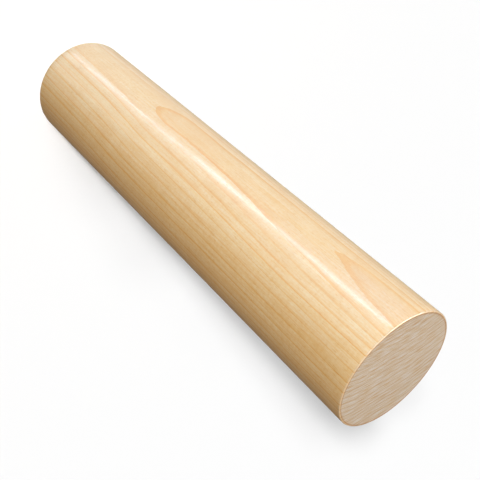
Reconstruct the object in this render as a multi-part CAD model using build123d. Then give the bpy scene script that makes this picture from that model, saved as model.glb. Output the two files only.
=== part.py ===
from build123d import *

import os

# A round blank for wood turning: one length of solid timber, turned to a plain cylinder
# and cross-cut square at both ends. Millimetres. It stands on one sawn end, with the
# origin at the centre of that end and +Z along the grain, up the axis to the other end.

blank_diameter = 50.0
blank_length = 225.0

# Radius left on the sharp edge round each sawn end by a light rub with sandpaper.
edge_ease = 0.5

blank_radius = blank_diameter / 2


def half_section():
    """Half of the blank's long section, from its axis out to the turned side."""
    with BuildSketch(Plane.XZ) as section:
        with BuildLine():
            bottom_cut = Line((0, 0), (blank_radius - edge_ease, 0))
            bottom_ease = JernArc(bottom_cut @ 1, bottom_cut % 1, edge_ease, 90)
            side = Line(bottom_ease @ 1, (blank_radius, blank_length - edge_ease))
            top_ease = JernArc(side @ 1, side % 1, edge_ease, 90)
            top_cut = Line(top_ease @ 1, (0, blank_length))
            Line(top_cut @ 1, bottom_cut @ 0)
        make_face()
    return section.sketch


def turning_blank():
    """The section spun once round the axis, as the lathe spins the timber."""
    blank = revolve(half_section(), axis=Axis.Z, revolution_arc=360)
    blank.label = "turning_blank"
    return blank


os.makedirs("parts", exist_ok=True)
export_step(turning_blank(), "parts/turning_blank.step")
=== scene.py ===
import math

import bpy
import numpy as np
from mathutils import Matrix, Vector


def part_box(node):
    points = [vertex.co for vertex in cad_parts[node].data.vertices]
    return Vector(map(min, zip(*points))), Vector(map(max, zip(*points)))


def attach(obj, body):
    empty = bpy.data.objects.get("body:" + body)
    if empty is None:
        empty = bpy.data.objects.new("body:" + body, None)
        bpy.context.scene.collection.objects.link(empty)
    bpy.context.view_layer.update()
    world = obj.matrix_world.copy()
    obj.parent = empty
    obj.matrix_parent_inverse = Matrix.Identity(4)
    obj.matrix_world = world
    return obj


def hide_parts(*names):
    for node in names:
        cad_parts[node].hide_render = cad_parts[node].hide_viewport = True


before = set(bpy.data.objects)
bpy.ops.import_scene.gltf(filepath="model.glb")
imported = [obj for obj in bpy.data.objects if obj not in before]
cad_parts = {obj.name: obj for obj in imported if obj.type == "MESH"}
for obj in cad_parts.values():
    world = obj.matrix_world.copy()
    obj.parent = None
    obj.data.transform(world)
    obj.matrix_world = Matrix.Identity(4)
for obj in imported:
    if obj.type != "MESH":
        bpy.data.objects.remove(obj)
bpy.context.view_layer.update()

# ---------------------------------------------------------------------------------------
# The round. One length of pale hardwood, turned to a plain cylinder and sawn square at
# both ends. The side is smooth from the lathe, the edge of each end is just broken with
# sandpaper, and the sawn ends keep the low ridges that the saw leaves along the rings.
# ---------------------------------------------------------------------------------------
MM = 0.001
foot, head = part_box("turning_blank")
length = head.z - foot.z
radius = min(-foot.x, head.x, -foot.y, head.y)
edge_ease = 0.5 * MM

# How finely the mesh is divided: round the blank, up its side, over an edge and out across
# an end, where the courses crowd a little towards the edge.
spokes = 384
side_courses = 36
edge_steps = 5
end_courses = 66
end_crowding = 0.9

# The saw's ridges: how deep they are, how many waves make them up, the waves' widths across
# the rings and lengths along them in mm, and how far in from the edge they are full depth.
saw_ridge = 0.07 * MM
ridge_waves = 46
ridge_widths = (0.55, 1.9)
ridge_lengths = (4.0, 14.0)
ridge_fade = 0.6 * MM
foot_seed, head_seed = 11, 12

# The heart of the tree lay outside the blank, 100 mm from its axis, and leant a little.
heart_away = 100 * MM
heart_bearing_at_foot = math.radians(-132.2)
heart_bearing_at_head = math.radians(-125.3)
heart_at_foot = Vector((math.cos(heart_bearing_at_foot), math.sin(heart_bearing_at_foot), 0)) * heart_away
heart_at_head = Vector((math.cos(heart_bearing_at_head), math.sin(heart_bearing_at_head), 0)) * heart_away


def ridges(x, y, heart, seed):
    """How deep the saw cut at each point of an end, 0 to 1: ridges that follow the rings."""
    out_from_heart = np.hypot(x - heart.x, y - heart.y) / MM
    round_heart = np.arctan2(y - heart.y, x - heart.x) * out_from_heart.mean()
    draw = np.random.default_rng(seed)
    cut = np.zeros_like(x)
    for _ in range(ridge_waves):
        across = 2 * math.pi / draw.uniform(*ridge_widths)
        along = 2 * math.pi / draw.uniform(*ridge_lengths) * draw.choice((-1, 1))
        cut += np.sin(across * out_from_heart + along * round_heart + draw.uniform(0, 2 * math.pi))
    cut /= math.sqrt(ridge_waves)
    middle, swing = 0.5, 0.25
    return np.clip(middle + swing * cut, 0, 1)


def round_outline():
    """Stations from the middle of the foot, out, up the side and in to the middle of the
    head, each as (radius, height, which surface the faces that lead to it belong to)."""
    inner = radius - edge_ease
    end_reaches = [inner * (i / end_courses) ** end_crowding for i in range(1, end_courses + 1)]
    turns = [math.pi / 2 * i / edge_steps for i in range(1, edge_steps + 1)]
    stations = []
    for reach in end_reaches:
        stations.append((reach, 0.0, "end"))
    for turn in turns:
        reach = inner + edge_ease * math.sin(turn)
        stations.append((reach, edge_ease * (1 - math.cos(turn)), "edge"))
    for i in range(1, side_courses + 1):
        rise = (length - 2 * edge_ease) * i / side_courses
        stations.append((radius, edge_ease + rise, "side"))
    for turn in turns:
        reach = inner + edge_ease * math.cos(turn)
        stations.append((reach, length - edge_ease * (1 - math.sin(turn)), "edge"))
    for reach in reversed(end_reaches[:-1]):
        stations.append((reach, length, "end"))
    return stations


def turned_round(name):
    """The blank's mesh, with its saw ridges cut inwards, and its faces sorted by surface."""
    stations = round_outline()
    bearing = np.linspace(0, 2 * math.pi, spokes, endpoint=False)
    places = [np.array([[0.0, 0.0, 0.0]])]
    for reach, height, _ in stations:
        course = np.stack([reach * np.cos(bearing), reach * np.sin(bearing), np.full(spokes, height)], 1)
        places.append(course)
    places.append(np.array([[0.0, 0.0, length]]))
    places = np.concatenate(places)
    on_foot = places[:, 2] <= 0
    on_head = places[:, 2] >= length
    inside_edge = radius - edge_ease - np.hypot(places[:, 0], places[:, 1])
    share = np.clip(inside_edge / ridge_fade, 0, 1)
    deep = saw_ridge * ridges(places[on_foot, 0], places[on_foot, 1], heart_at_foot, foot_seed)
    places[on_foot, 2] += deep * share[on_foot]
    deep = saw_ridge * ridges(places[on_head, 0], places[on_head, 1], heart_at_head, head_seed)
    places[on_head, 2] -= deep * share[on_head]
    places[:, 2] += foot.z

    faces, surface = [], []
    kinds = {"side": 0, "end": 1, "edge": 2}
    for k in range(spokes):
        faces.append((0, 1 + (k + 1) % spokes, 1 + k))
        surface.append(kinds["end"])
    for row in range(len(stations) - 1):
        low, high = 1 + row * spokes, 1 + (row + 1) * spokes
        kind = kinds[stations[row + 1][2]]
        for k in range(spokes):
            after = (k + 1) % spokes
            faces.append((low + k, low + after, high + after, high + k))
            surface.append(kind)
    last, middle = 1 + (len(stations) - 1) * spokes, len(places) - 1
    for k in range(spokes):
        faces.append((last + k, last + (k + 1) % spokes, middle))
        surface.append(kinds["end"])

    mesh = bpy.data.meshes.new(name)
    mesh.from_pydata(places.tolist(), [], faces)
    mesh.polygons.foreach_set("material_index", surface)
    mesh.polygons.foreach_set("use_smooth", [True] * len(faces))
    mesh.update()
    made = bpy.data.objects.new(name, mesh)
    bpy.context.scene.collection.objects.link(made)
    return made


blank = turned_round("round_blank")

# ---------------------------------------------------------------------------------------
# The figure. Growth rings run right through the wood, so one solid pattern in the blank's
# own millimetres serves the side and both ends: pale early wood, darkening to a thin
# orange line at each ring's outer edge, which drifts and swells as the tree grew.
# ---------------------------------------------------------------------------------------


def put(tree, kind, *inputs, out=0, **settings):
    """A shader node: its settings, its inputs in order (a link, a value or None)."""
    made = tree.nodes.new("ShaderNode" + kind)
    for name, value in settings.items():
        setattr(made, name, value)
    for socket, value in zip(made.inputs, inputs):
        if isinstance(value, bpy.types.NodeSocket):
            tree.links.new(value, socket)
        elif value is not None:
            socket.default_value = value
    return made.outputs[out]


def maths(tree, operation, a, b=0.0, c=0.0):
    """One sum on numbers."""
    return put(tree, "Math", a, b, c, operation=operation)


def vectors(tree, operation, a, b=(0, 0, 0), c=(0, 0, 0)):
    """One sum on vectors, which gives a vector, or a number for a length or a dot product."""
    made = put(tree, "VectorMath", a, b, c, operation=operation)
    return made.node.outputs["Value"] if operation in ("LENGTH", "DOT_PRODUCT") else made


def curve(tree, value, points):
    """A drawn curve through points in its own units, read at value."""
    xs, ys = [p[0] for p in points], [p[1] for p in points]
    span, low, tall = xs[-1] - xs[0], min(ys), max(ys) - min(ys)
    share = put(tree, "MapRange", value, xs[0], xs[-1], 0.0, 1.0)
    drawn = put(tree, "FloatCurve", 1.0, share)
    line = drawn.node.mapping.curves[0]
    while len(line.points) < len(points):
        line.points.new(0.5, 0.5)
    for knot, x, y in zip(line.points, xs, ys):
        knot.location = ((x - xs[0]) / span, (y - low) / tall)
        knot.handle_type = "AUTO"
    drawn.node.mapping.update()
    return put(tree, "MapRange", drawn, 0.0, 1.0, low, low + tall)


def bell(tree, off_squared):
    """1 in the middle of a swelling, falling away smoothly to 0 around it."""
    return maths(tree, "POWER", math.e, maths(tree, "MULTIPLY", off_squared, -1.0))


# An uneven pattern seldom goes below the first of these values or above the second.
noise_low, noise_high = 0.3, 0.7


def noise(tree, place, size, detail=2.0, rough=0.5):
    """An uneven pattern about 0.5, whose size is given in mm along each axis of the place."""
    return put(tree, "TexNoise", vectors(tree, "DIVIDE", place, size), None, 1.0, detail, rough)


# Ring widths in mm, counted outwards from the heart, and how dark each ring's line is. The
# first ring given starts 72.4 mm from the heart, just short of the blank.
rings = (
    (1.5, 0.70), (1.3, 0.85), (1.2, 0.50), (1.6, 0.75), (2.05, 1.0), (2.75, 0.80), (1.7, 0.08),
    (1.7, 0.80), (2.0, 0.30), (2.4, 0.95), (2.2, 0.35), (2.2, 1.0), (2.9, 0.30), (2.9, 1.0),
    (2.8, 0.8), (2.3, 0.7), (2.1, 0.9), (2.0, 0.7), (1.9, 1.0), (2.1, 0.8), (2.5, 0.35),
    (1.6, 0.9), (2.7, 0.5), (1.8, 0.8), (2.4, 0.3), (1.5, 1.0), (2.3, 0.6), (1.9, 0.8),
)
first_ring = 72.4

# The rings swell and pinch where side shoots once grew: mm outwards, then the middle and
# the half size of each swelling, both as (height up the blank, sideways), in mm.
side_shoots = (
    (-1.0, (177, 3.1), (58, 6.4)),
    (-2.0, (99, 2.4), (57, 13.6)),
    (-0.9, (96, -2.6), (53, 5.7)),
    (1.5, (187, 17.9), (55, 5.9)),
    (-0.4, (71, -6.3), (15, 4.2)),
    (-0.35, (108, 5.2), (27, 2.6)),
    (-0.12, (76, 3.0), (9, 3.0)),
    (0.22, (216, -7.5), (20, 4.0)),
)
sideways_of_blank = (0.788, -0.616, 0.0)

# How far the rings drift outwards up the blank, and how much more they do so along the
# face nearest the heart, where the flat-sawn arches show. Points as (height, mm outwards).
ring_drift = (
    (0, 0.0), (37.5, 0.49), (69, 1.70), (90, 2.41), (115, 2.34), (150, 1.98), (187.5, 1.94), (225, 2.20),
)
arch_drift = (
    (0, -0.62), (30, -0.40), (55, -0.17), (68, 0.03), (80, 0.42), (95, 0.77), (112, 0.85),
    (130, 0.68), (150, 0.36), (168, 0.12), (186, -0.07), (205, 0.17), (225, 0.12),
)
arch_middle, arch_half_width = -1.6, 5.2

# Every ring wavers too: the waver's size in mm, its detail, and how many mm it moves a ring.
ring_waver = (
    ((7, 7, 26), 2.0, 0.3),
    ((0.7, 0.7, 4), 1.0, 0.1),
)

# The lines are broader towards the foot: up to this height, in mm, from this share.
broad_lines_up_to = 200.0
foot_line_share = 0.75


def figure_group():
    """Place in the blank -> mm back to the ring's line, how dark that line is, mm out from
    the heart and round it, and the place itself in mm."""
    tree = bpy.data.node_groups.new("wood_figure", "ShaderNodeTree")
    sockets = tree.interface
    sockets.new_socket("Place", in_out="INPUT", socket_type="NodeSocketVector")
    for name in ("To line", "Line", "Out from heart", "Round heart"):
        sockets.new_socket(name, in_out="OUTPUT", socket_type="NodeSocketFloat")
    sockets.new_socket("Millimetres", in_out="OUTPUT", socket_type="NodeSocketVector")
    given = tree.nodes.new("NodeGroupInput")
    result = tree.nodes.new("NodeGroupOutput")

    place = vectors(tree, "SCALE", given.outputs["Place"])
    place.node.inputs["Scale"].default_value = 1 / MM
    height = put(tree, "SeparateXYZ", place, out=2)
    up = put(tree, "CombineXYZ", height, height, height)
    lean = (heart_at_head - heart_at_foot) / length
    heart = vectors(tree, "MULTIPLY_ADD", up, tuple(lean), tuple(heart_at_foot / MM))
    level = vectors(tree, "MULTIPLY", vectors(tree, "SUBTRACT", place, heart), (1, 1, 0))
    out = vectors(tree, "LENGTH", level)
    split = put(tree, "SeparateXYZ", level)
    turn = maths(tree, "ARCTAN2", split.node.outputs[1], split.node.outputs[0])
    round_heart = maths(tree, "MULTIPLY", turn, heart_away / MM)

    sideways = vectors(tree, "DOT_PRODUCT", place, sideways_of_blank)
    flat = put(tree, "CombineXYZ", height, sideways, 0.0)
    moved = curve(tree, height, ring_drift)
    off_arch = maths(tree, "DIVIDE", maths(tree, "SUBTRACT", sideways, arch_middle), arch_half_width)
    on_arch = bell(tree, maths(tree, "MULTIPLY", off_arch, off_arch))
    moved = maths(tree, "MULTIPLY_ADD", on_arch, curve(tree, height, arch_drift), moved)
    for swell, middle, half_size in side_shoots:
        off = vectors(tree, "SUBTRACT", flat, (*middle, 0))
        off = vectors(tree, "DIVIDE", off, (*half_size, 1))
        on_swelling = bell(tree, vectors(tree, "DOT_PRODUCT", off, off))
        moved = maths(tree, "MULTIPLY_ADD", on_swelling, swell, moved)
    for size, detail, by in ring_waver:
        waver = maths(tree, "SUBTRACT", noise(tree, place, size, detail), 0.5)
        moved = maths(tree, "MULTIPLY_ADD", waver, by, moved)
    true_out = maths(tree, "SUBTRACT", out, moved)

    reach, edges = first_ring, [(first_ring, 0)]
    for number, (width, _) in enumerate(rings):
        reach += width
        edges.append((reach, number + 1))
    count = curve(tree, true_out, edges)
    through = maths(tree, "FRACT", count)
    ring = maths(tree, "FLOOR", count)
    line = curve(tree, ring, [(number, dark) for number, (_, dark) in enumerate(rings)])
    wide = curve(tree, ring, [(number, width) for number, (width, _) in enumerate(rings)])
    to_line = maths(tree, "MULTIPLY", maths(tree, "SUBTRACT", 1.0, through), wide)
    line_share = put(tree, "MapRange", height, 0.0, broad_lines_up_to, foot_line_share, 1.0)
    to_line = maths(tree, "MULTIPLY", to_line, line_share)

    for name, value in (
        ("To line", to_line),
        ("Line", line),
        ("Out from heart", out),
        ("Round heart", round_heart),
        ("Millimetres", place),
    ):
        tree.links.new(value, result.inputs[name])
    return tree


figure = figure_group()


def figured(tree):
    """The figure's outputs at the surface's own place in the blank."""
    place = put(tree, "TexCoord", out=3)
    group = tree.nodes.new("ShaderNodeGroup")
    group.node_tree = figure
    tree.links.new(place, group.inputs["Place"])
    return group.outputs


# ---------------------------------------------------------------------------------------
# The turned side. The wood is sanded smooth and has a thin clear coat, which leaves a soft
# gloss that the grain combs. Fibres, flecks and pores run along the grain, and faint
# bands, clouds and cross mottle vary the colour between the ring lines.
# ---------------------------------------------------------------------------------------
side_wood = (0.83, 0.572, 0.266)

# The ring line's tint, by mm back from the line: a deep edge that fades out into the ring.
side_ring = (
    (0.00, (0.92, 0.66, 0.27)),
    (0.15, (0.92, 0.67, 0.29)),
    (0.26, (0.95, 0.83, 0.62)),
    (0.45, (0.97, 0.91, 0.82)),
    (0.75, (0.985, 0.96, 0.93)),
    (1.30, (1.0, 1.0, 1.0)),
)

# Each pattern's size in mm, its detail, its roughness, and its strength in red, green, blue.
side_patterns = {
    "fibre": ((0.55, 0.55, 16), 2.0, 0.5, (0.10, 0.42, 1.10)),
    "fleck": ((0.45, 0.45, 1.3), 3.0, 0.6, (0.08, 0.34, 0.80)),
    "band": ((2.6, 2.6, 45), 1.0, 0.5, (0.05, 0.20, 0.44)),
    "cloud": ((9, 9, 6), 2.0, 0.5, (0.06, 0.14, 0.26)),
    "mottle": ((5, 5, 0.9), 2.0, 0.5, (0.06, 0.16, 0.30)),
}

# The pores show where their pattern passes the first value, and are darkest at the second.
pore_size = (0.32, 0.32, 1.8)
pore_tint = (0.93, 0.82, 0.66)
pore_start, pore_full = 0.60, 0.72

# How rough the bare fibres are, and how far the fibres and the comb of the coat stand up.
smooth_fibre, rough_fibre = 0.42, 0.54
fibre_relief = 0.02 * MM
comb_size = (0.5, 0.5, 22)
comb_relief = 0.03 * MM


def new_finish(name):
    """A new material, its node tree and its shader."""
    finish = bpy.data.materials.new(name)
    finish.use_nodes = True
    return finish, finish.node_tree, finish.node_tree.nodes["Principled BSDF"]


def stained(tree, colour, tint, amount):
    """Colour multiplied towards tint by amount."""
    made = tree.nodes.new("ShaderNodeMix")
    made.data_type, made.blend_type, made.clamp_factor = "RGBA", "MULTIPLY", True
    for socket, value in ((made.inputs[0], amount), (made.inputs[6], colour), (made.inputs[7], tint)):
        if isinstance(value, bpy.types.NodeSocket):
            tree.links.new(value, socket)
        else:
            socket.default_value = value
    return made.outputs[2]


def shaded(tree, colour, by, strength):
    """Colour lightened and darkened by a noise about 0.5, by a strength for each channel."""
    off = maths(tree, "SUBTRACT", by, 0.5)
    off = put(tree, "CombineXYZ", off, off, off)
    gain = vectors(tree, "MULTIPLY_ADD", off, tuple(strength), (1, 1, 1))
    return vectors(tree, "MULTIPLY", colour, gain)


def ring_tint(tree, to_line, stops):
    """The ring's own tint, from stops that start at its dark line and go back into it, in mm."""
    reach = stops[-1][0]
    ramp = put(tree, "ValToRGB", put(tree, "MapRange", to_line, 0.0, reach, 0.0, 1.0)).node
    while len(ramp.color_ramp.elements) < len(stops):
        ramp.color_ramp.elements.new(0.5)
    for knot, (where, tint) in zip(ramp.color_ramp.elements, stops):
        knot.position, knot.color = where / reach, (*tint, 1)
    return ramp.outputs[0]


def relief(tree, height, strength, depth):
    """The way the surface faces once a pattern raises it by depth."""
    bump = tree.nodes.new("ShaderNodeBump")
    bump.inputs["Strength"].default_value = strength
    bump.inputs["Distance"].default_value = depth
    tree.links.new(height, bump.inputs["Height"])
    return bump.outputs[0]


def side_finish():
    finish, tree, wood = new_finish("turned_side_wood")
    rings_here = figured(tree)
    place = rings_here["Millimetres"]
    tint = ring_tint(tree, rings_here["To line"], side_ring)
    colour = stained(tree, (*side_wood, 1), tint, rings_here["Line"])
    patterns = {}
    for name, (size, detail, rough, strength) in side_patterns.items():
        patterns[name] = noise(tree, place, size, detail, rough)
        colour = shaded(tree, colour, patterns[name], strength)
    pores = noise(tree, place, pore_size, 1.0)
    pores = put(tree, "MapRange", pores, pore_start, pore_full, 0.0, 1.0)
    colour = stained(tree, colour, (*pore_tint, 1), pores)
    tree.links.new(colour, wood.inputs["Base Color"])
    fibre = patterns["fibre"]
    rough = put(tree, "MapRange", fibre, noise_low, noise_high, smooth_fibre, rough_fibre)
    tree.links.new(rough, wood.inputs["Roughness"])
    wood.inputs["Coat Weight"].default_value = 0.6
    wood.inputs["Coat Roughness"].default_value = 0.16
    tree.links.new(relief(tree, fibre, 0.3, fibre_relief), wood.inputs["Normal"])
    combed = noise(tree, place, comb_size)
    tree.links.new(relief(tree, combed, 1.0, comb_relief), wood.inputs["Coat Normal"])
    return finish


# ---------------------------------------------------------------------------------------
# The sawn ends. Bare end grain, left dry and greyer than the side. The saw draws it into
# fine broken streaks along the rings, and it darkens in a thin band just inside the edge.
# ---------------------------------------------------------------------------------------
end_wood = (0.525, 0.414, 0.300)
end_ring = (
    (0.00, (0.82, 0.67, 0.52)),
    (0.30, (0.84, 0.70, 0.56)),
    (0.60, (0.94, 0.89, 0.83)),
    (1.10, (1.0, 1.0, 1.0)),
)

# How much of the ring tint shows on a ring whose line is faint, and how much more on one
# whose line is dark.
tint_least, tint_more = 0.35, 0.40

# The streaks' width across the rings and length along them, then the finer fuzz and the
# broad patches: each one's size in mm, and its strength in red, green and blue.
streak_size, streak_strength = (0.33, 5.0, 1), (0.15, 0.46, 0.92)
fuzz_size, fuzz_strength = (0.3, 0.3, 5), (0.34, 0.75, 1.20)
patch_size, patch_strength = (6, 6, 20), (0.10, 0.16, 0.24)
streak_relief = 0.05 * MM

# The darker band inside the edge: where it starts and where it is full, in mm from the side.
rim_tint = (0.80, 0.58, 0.37)
rim_start, rim_full = 1.2, 0.7


def end_finish():
    finish, tree, wood = new_finish("sawn_end_wood")
    rings_here = figured(tree)
    place = rings_here["Millimetres"]
    tint = ring_tint(tree, rings_here["To line"], end_ring)
    amount = maths(tree, "MULTIPLY_ADD", rings_here["Line"], tint_more, tint_least)
    colour = stained(tree, (*end_wood, 1), tint, amount)
    run = put(tree, "CombineXYZ", rings_here["Out from heart"], rings_here["Round heart"], 0.0)
    streak = noise(tree, run, streak_size, 0.8)
    streak = put(tree, "MapRange", streak, noise_low, noise_high, 0.0, 1.0)
    fuzz = noise(tree, place, fuzz_size)
    colour = shaded(tree, colour, streak, streak_strength)
    colour = shaded(tree, colour, fuzz, fuzz_strength)
    from_axis = vectors(tree, "LENGTH", vectors(tree, "MULTIPLY", place, (1, 1, 0)))
    rim = put(tree, "MapRange", from_axis, radius / MM - rim_start, radius / MM - rim_full, 0.0, 1.0)
    colour = stained(tree, colour, (*rim_tint, 1), rim)
    colour = shaded(tree, colour, noise(tree, place, patch_size), patch_strength)
    tree.links.new(colour, wood.inputs["Base Color"])
    wood.inputs["Roughness"].default_value = 0.85
    wood.inputs["Specular IOR Level"].default_value = 0.3
    raised = maths(tree, "ADD", streak, fuzz)
    tree.links.new(relief(tree, raised, 0.3, streak_relief), wood.inputs["Normal"])
    return finish


# ---------------------------------------------------------------------------------------
# The broken edge. The sharp corner round each end is taken off with sandpaper, which rubs
# it pale and a little shiny, with the ring lines nicking it.
# ---------------------------------------------------------------------------------------
edge_wood = (0.74, 0.53, 0.31)
edge_fuzz_size, edge_fuzz_strength = (0.5, 0.5, 0.5), (0.15, 0.2, 0.3)


def edge_finish():
    finish, tree, wood = new_finish("broken_edge_wood")
    rings_here = figured(tree)
    tint = ring_tint(tree, rings_here["To line"], side_ring)
    colour = stained(tree, (*edge_wood, 1), tint, rings_here["Line"])
    fuzz = noise(tree, rings_here["Millimetres"], edge_fuzz_size)
    colour = shaded(tree, colour, fuzz, edge_fuzz_strength)
    tree.links.new(colour, wood.inputs["Base Color"])
    wood.inputs["Roughness"].default_value = 0.35
    wood.inputs["Coat Weight"].default_value = 1.0
    wood.inputs["Coat Roughness"].default_value = 0.25
    return finish


# The finishes go on in the order in which the round's faces are sorted.
for finish in (side_finish(), end_finish(), edge_finish()):
    blank.data.materials.append(finish)
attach(blank, "root")
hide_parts("turning_blank")

# ---------------------------------------------------------------------------------------
# The studio floor. A wide sheet of matt pale paper that lies flat under the blank and
# curves up far off into a pale wall. It takes lamplight near the blank and glows by itself
# further out, so that it stays pale from any side.
# ---------------------------------------------------------------------------------------
floor_reach, wall_height, sweep = 3.6, 3.0, 1.0
sweep_steps = 16
floor_sides = 96
lit_only_to, glow_only_from = 0.9, 2.3
paper_white, paper_glow = 0.85, 0.985


def studio_floor():
    profile = [(0.0, 0.0), (floor_reach - sweep, 0.0)]
    for i in range(1, sweep_steps + 1):
        turn = math.pi / 2 * i / sweep_steps
        profile.append((floor_reach - sweep + sweep * math.sin(turn), sweep * (1 - math.cos(turn))))
    profile.append((floor_reach, wall_height))
    places, faces = [(0, 0, 0)], []
    for reach, height in profile[1:]:
        for k in range(floor_sides):
            turn = 2 * math.pi * k / floor_sides
            places.append((reach * math.cos(turn), reach * math.sin(turn), height))
    for k in range(floor_sides):
        faces.append((0, 1 + k, 1 + (k + 1) % floor_sides))
    for row in range(len(profile) - 2):
        low, high = 1 + row * floor_sides, 1 + (row + 1) * floor_sides
        for k in range(floor_sides):
            after = (k + 1) % floor_sides
            faces.append((low + k, high + k, high + after, low + after))
    mesh = bpy.data.meshes.new("studio_floor")
    mesh.from_pydata(places, [], faces)
    mesh.update()
    made = bpy.data.objects.new("studio_floor", mesh)
    bpy.context.scene.collection.objects.link(made)
    return made


def paper_finish():
    finish, tree, paper = new_finish("pale_paper")
    place = put(tree, "NewGeometry")
    out = vectors(tree, "LENGTH", vectors(tree, "MULTIPLY", place, (1, 1, 0)))
    far = put(tree, "MapRange", out, lit_only_to, glow_only_from, 0.0, 1.0)
    far.node.interpolation_type = "SMOOTHSTEP"
    white = put(tree, "MapRange", far, 0.0, 1.0, paper_white, 0.0)
    tree.links.new(put(tree, "CombineXYZ", white, white, white), paper.inputs["Base Color"])
    tree.links.new(maths(tree, "MULTIPLY", far, paper_glow), paper.inputs["Emission Strength"])
    paper.inputs["Emission Color"].default_value = (1, 1, 1, 1)
    paper.inputs["Roughness"].default_value = 1.0
    paper.inputs["Specular IOR Level"].default_value = 0.0
    return finish


floor = studio_floor()
floor.data.materials.append(paper_finish())
floor.visible_diffuse = False
floor.visible_glossy = False
floor.visible_shadow = False

# ---------------------------------------------------------------------------------------
# The lights. Softboxes stand round the blank and light only the blank, and far-off lamps
# light only the floor, so each can be set by itself. A little even light fills the air.
# ---------------------------------------------------------------------------------------
air_light = 0.09
world = bpy.data.worlds.new("studio_air")
bpy.context.scene.world = world
world.use_nodes = True
world.node_tree.nodes["Background"].inputs["Color"].default_value = (1, 1, 1, 1)
world.node_tree.nodes["Background"].inputs["Strength"].default_value = air_light

only_blank = bpy.data.collections.new("lights_the_blank")
only_blank.objects.link(blank)
only_floor = bpy.data.collections.new("lights_the_floor")
only_floor.objects.link(floor)

half_way_up = length / 2


def softbox(name, bearing, away, height, size, power, colour=(1, 1, 1), faces=half_way_up):
    """A lit rectangle on a bearing round the blank, in degrees, turned to face a height on
    the blank's axis. Its size is width and height, and its power is in watts."""
    lamp = bpy.data.lights.new(name, "AREA")
    lamp.shape = "RECTANGLE"
    lamp.size, lamp.size_y = size
    lamp.energy = power
    lamp.color = colour
    made = bpy.data.objects.new(name, lamp)
    turn = math.radians(bearing)
    made.location = (away * math.cos(turn), away * math.sin(turn), height)
    aim = Vector((0, 0, faces)) - made.location
    made.rotation_mode = "QUATERNION"
    made.rotation_quaternion = aim.to_track_quat("-Z", "Y")
    made.visible_camera = False
    made.light_linking.receiver_collection = only_blank
    bpy.context.scene.collection.objects.link(made)
    return made


# Big matt panels light the wood, white in front and warmer where the blank turns away.
# Each has its bearing, its power and its colour.
panel_away, panel_size = 0.6, (0.31, 0.60)
for bearing, power, colour in (
    (-105, 2.30, (1, 1, 1)),
    (-195, 1.60, (1, 0.95, 0.87)),
    (-8, 0.90, (1, 0.68, 0.40)),
    (80, 1.2, (1, 0.96, 0.9)),
):
    panel = softbox(f"panel_{abs(bearing)}", bearing, panel_away, half_way_up, panel_size, power, colour)
    panel.visible_glossy = False

# Taller screens are seen only as the soft sheen on the finish, cool in front and warm at
# the blank's outline. They hang low because the camera looks down on an upright side.
sheen_away, screen_size, screen_height = 0.5, (0.26, 1.20), -0.33
cool = (0.9, 0.98, 1.04)
for bearing, power, colour in (
    (-270, 0.10, (1, 0.70, 0.45)),
    (-240, 0.42, (1, 0.88, 0.76)),
    (-210, 1.10, cool),
    (-180, 1.60, cool),
    (-150, 2.00, cool),
    (-120, 2.45, cool),
    (-90, 2.95, cool),
    (-60, 1.15, cool),
    (50, 0.11, (1, 0.8, 0.4)),
):
    name = f"screen_{-bearing}"
    screen = softbox(name, bearing, sheen_away, screen_height, screen_size, power, colour, screen_height)
    screen.visible_diffuse = False

# Strip lights give the bright streak along the blank and the paler band beside it, and one
# more lifts the sheen near the head. Each has its bearing, height, size, power and colour.
for name, bearing, height, size, power, colour in (
    ("strip_low", -132.2, -0.50, (0.036, 0.37), 0.56, (0.70, 0.87, 1.20)),
    ("strip_high", -135.6, -0.13, (0.048, 0.40), 1.07, (0.68, 0.87, 1.24)),
    ("strip_wide", -121.5, -0.32, (0.12, 1.20), 0.72, (0.66, 0.91, 1.12)),
    ("near_sheen", -158, 0.03, (0.40, 0.22), 0.48, (0.06, 0.46, 1.30)),
):
    strip = softbox(name, bearing, sheen_away, height, size, power, colour, height)
    strip.visible_diffuse = False

# A softbox overhead lights the sawn end.
softbox("overhead_softbox", -120, 0.20, 0.75, (0.40, 0.40), 3.4)

# A lamp out to the left shows only as the glint along the broken edge of the head.
glint = softbox("edge_glint", 175, 0.40, 0.65, (0.60, 0.40), 7.0, faces=length)
glint.visible_diffuse = False

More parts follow.
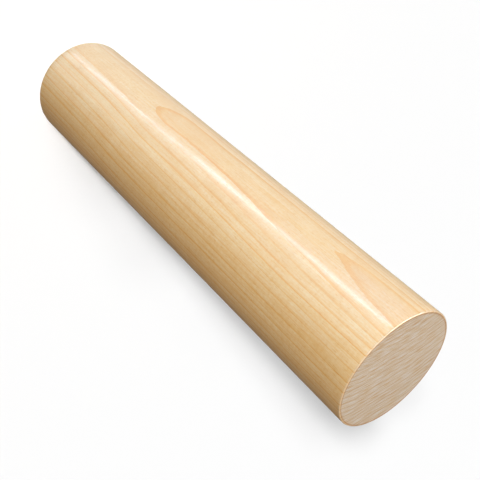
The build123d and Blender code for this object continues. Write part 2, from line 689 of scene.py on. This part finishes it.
# Six lamps, far off and near the camera's side, light the floor and throw the shadow.
# Each has its bearing, its height in degrees, how wide it looks, and its strength.
for bearing, rise, width, power in (
    (-96.4, 20.4, 4, 4.25),
    (-91.3, 19, 2.2, 1.20),
    (-99.1, 22.8, 5, 1.75),
    (-103.5, 40, 9, 0.12),
    (-107, 60, 12, 0.45),
    (-111, 77, 12, 0.36),
):
    lamp = bpy.data.lights.new(f"floor_lamp_{rise}", "SUN")
    lamp.energy = power
    lamp.angle = math.radians(width)
    made = bpy.data.objects.new(f"floor_lamp_{rise}", lamp)
    turn, tilt = math.radians(bearing), math.radians(rise)
    level = math.cos(tilt)
    comes_from = Vector((math.cos(turn) * level, math.sin(turn) * level, math.sin(tilt)))
    made.rotation_mode = "QUATERNION"
    made.rotation_quaternion = (-comes_from).to_track_quat("-Z", "Y")
    made.light_linking.receiver_collection = only_floor
    bpy.context.scene.collection.objects.link(made)

# ---------------------------------------------------------------------------------------
# The camera. It looks down on the blank from above one side, rolled so that the blank lies
# across the view from upper left to lower right, with its head end nearest.
# ---------------------------------------------------------------------------------------
lens, sensor = 57.23, 36.0
look_down = math.radians(36.84)
look_aside = math.radians(0.712)
roll = math.radians(132.7)

# Where it aims and how far off it stands, in radii of the blank.
aim_up_blank = 5.572
aim_beside_axis = 0.123
stand_off = 12.40

camera_data = bpy.data.cameras.new("camera")
camera_data.lens = lens
camera_data.sensor_width = sensor
camera_data.clip_start, camera_data.clip_end = 0.01, 20.0
camera = bpy.data.objects.new("camera", camera_data)
level = math.cos(look_down)
looks = Vector((math.sin(look_aside) * level, math.cos(look_aside) * level, -math.sin(look_down)))
aim = Vector((aim_beside_axis, 0, aim_up_blank)) * head.x
camera.location = aim - looks * stand_off * head.x
upright = looks.to_track_quat("-Z", "Y")
camera.rotation_mode = "QUATERNION"
camera.rotation_quaternion = upright @ Matrix.Rotation(roll, 4, "Z").to_quaternion()
bpy.context.scene.collection.objects.link(camera)
bpy.context.scene.camera = camera
bpy.context.scene.view_settings.view_transform = "Standard"
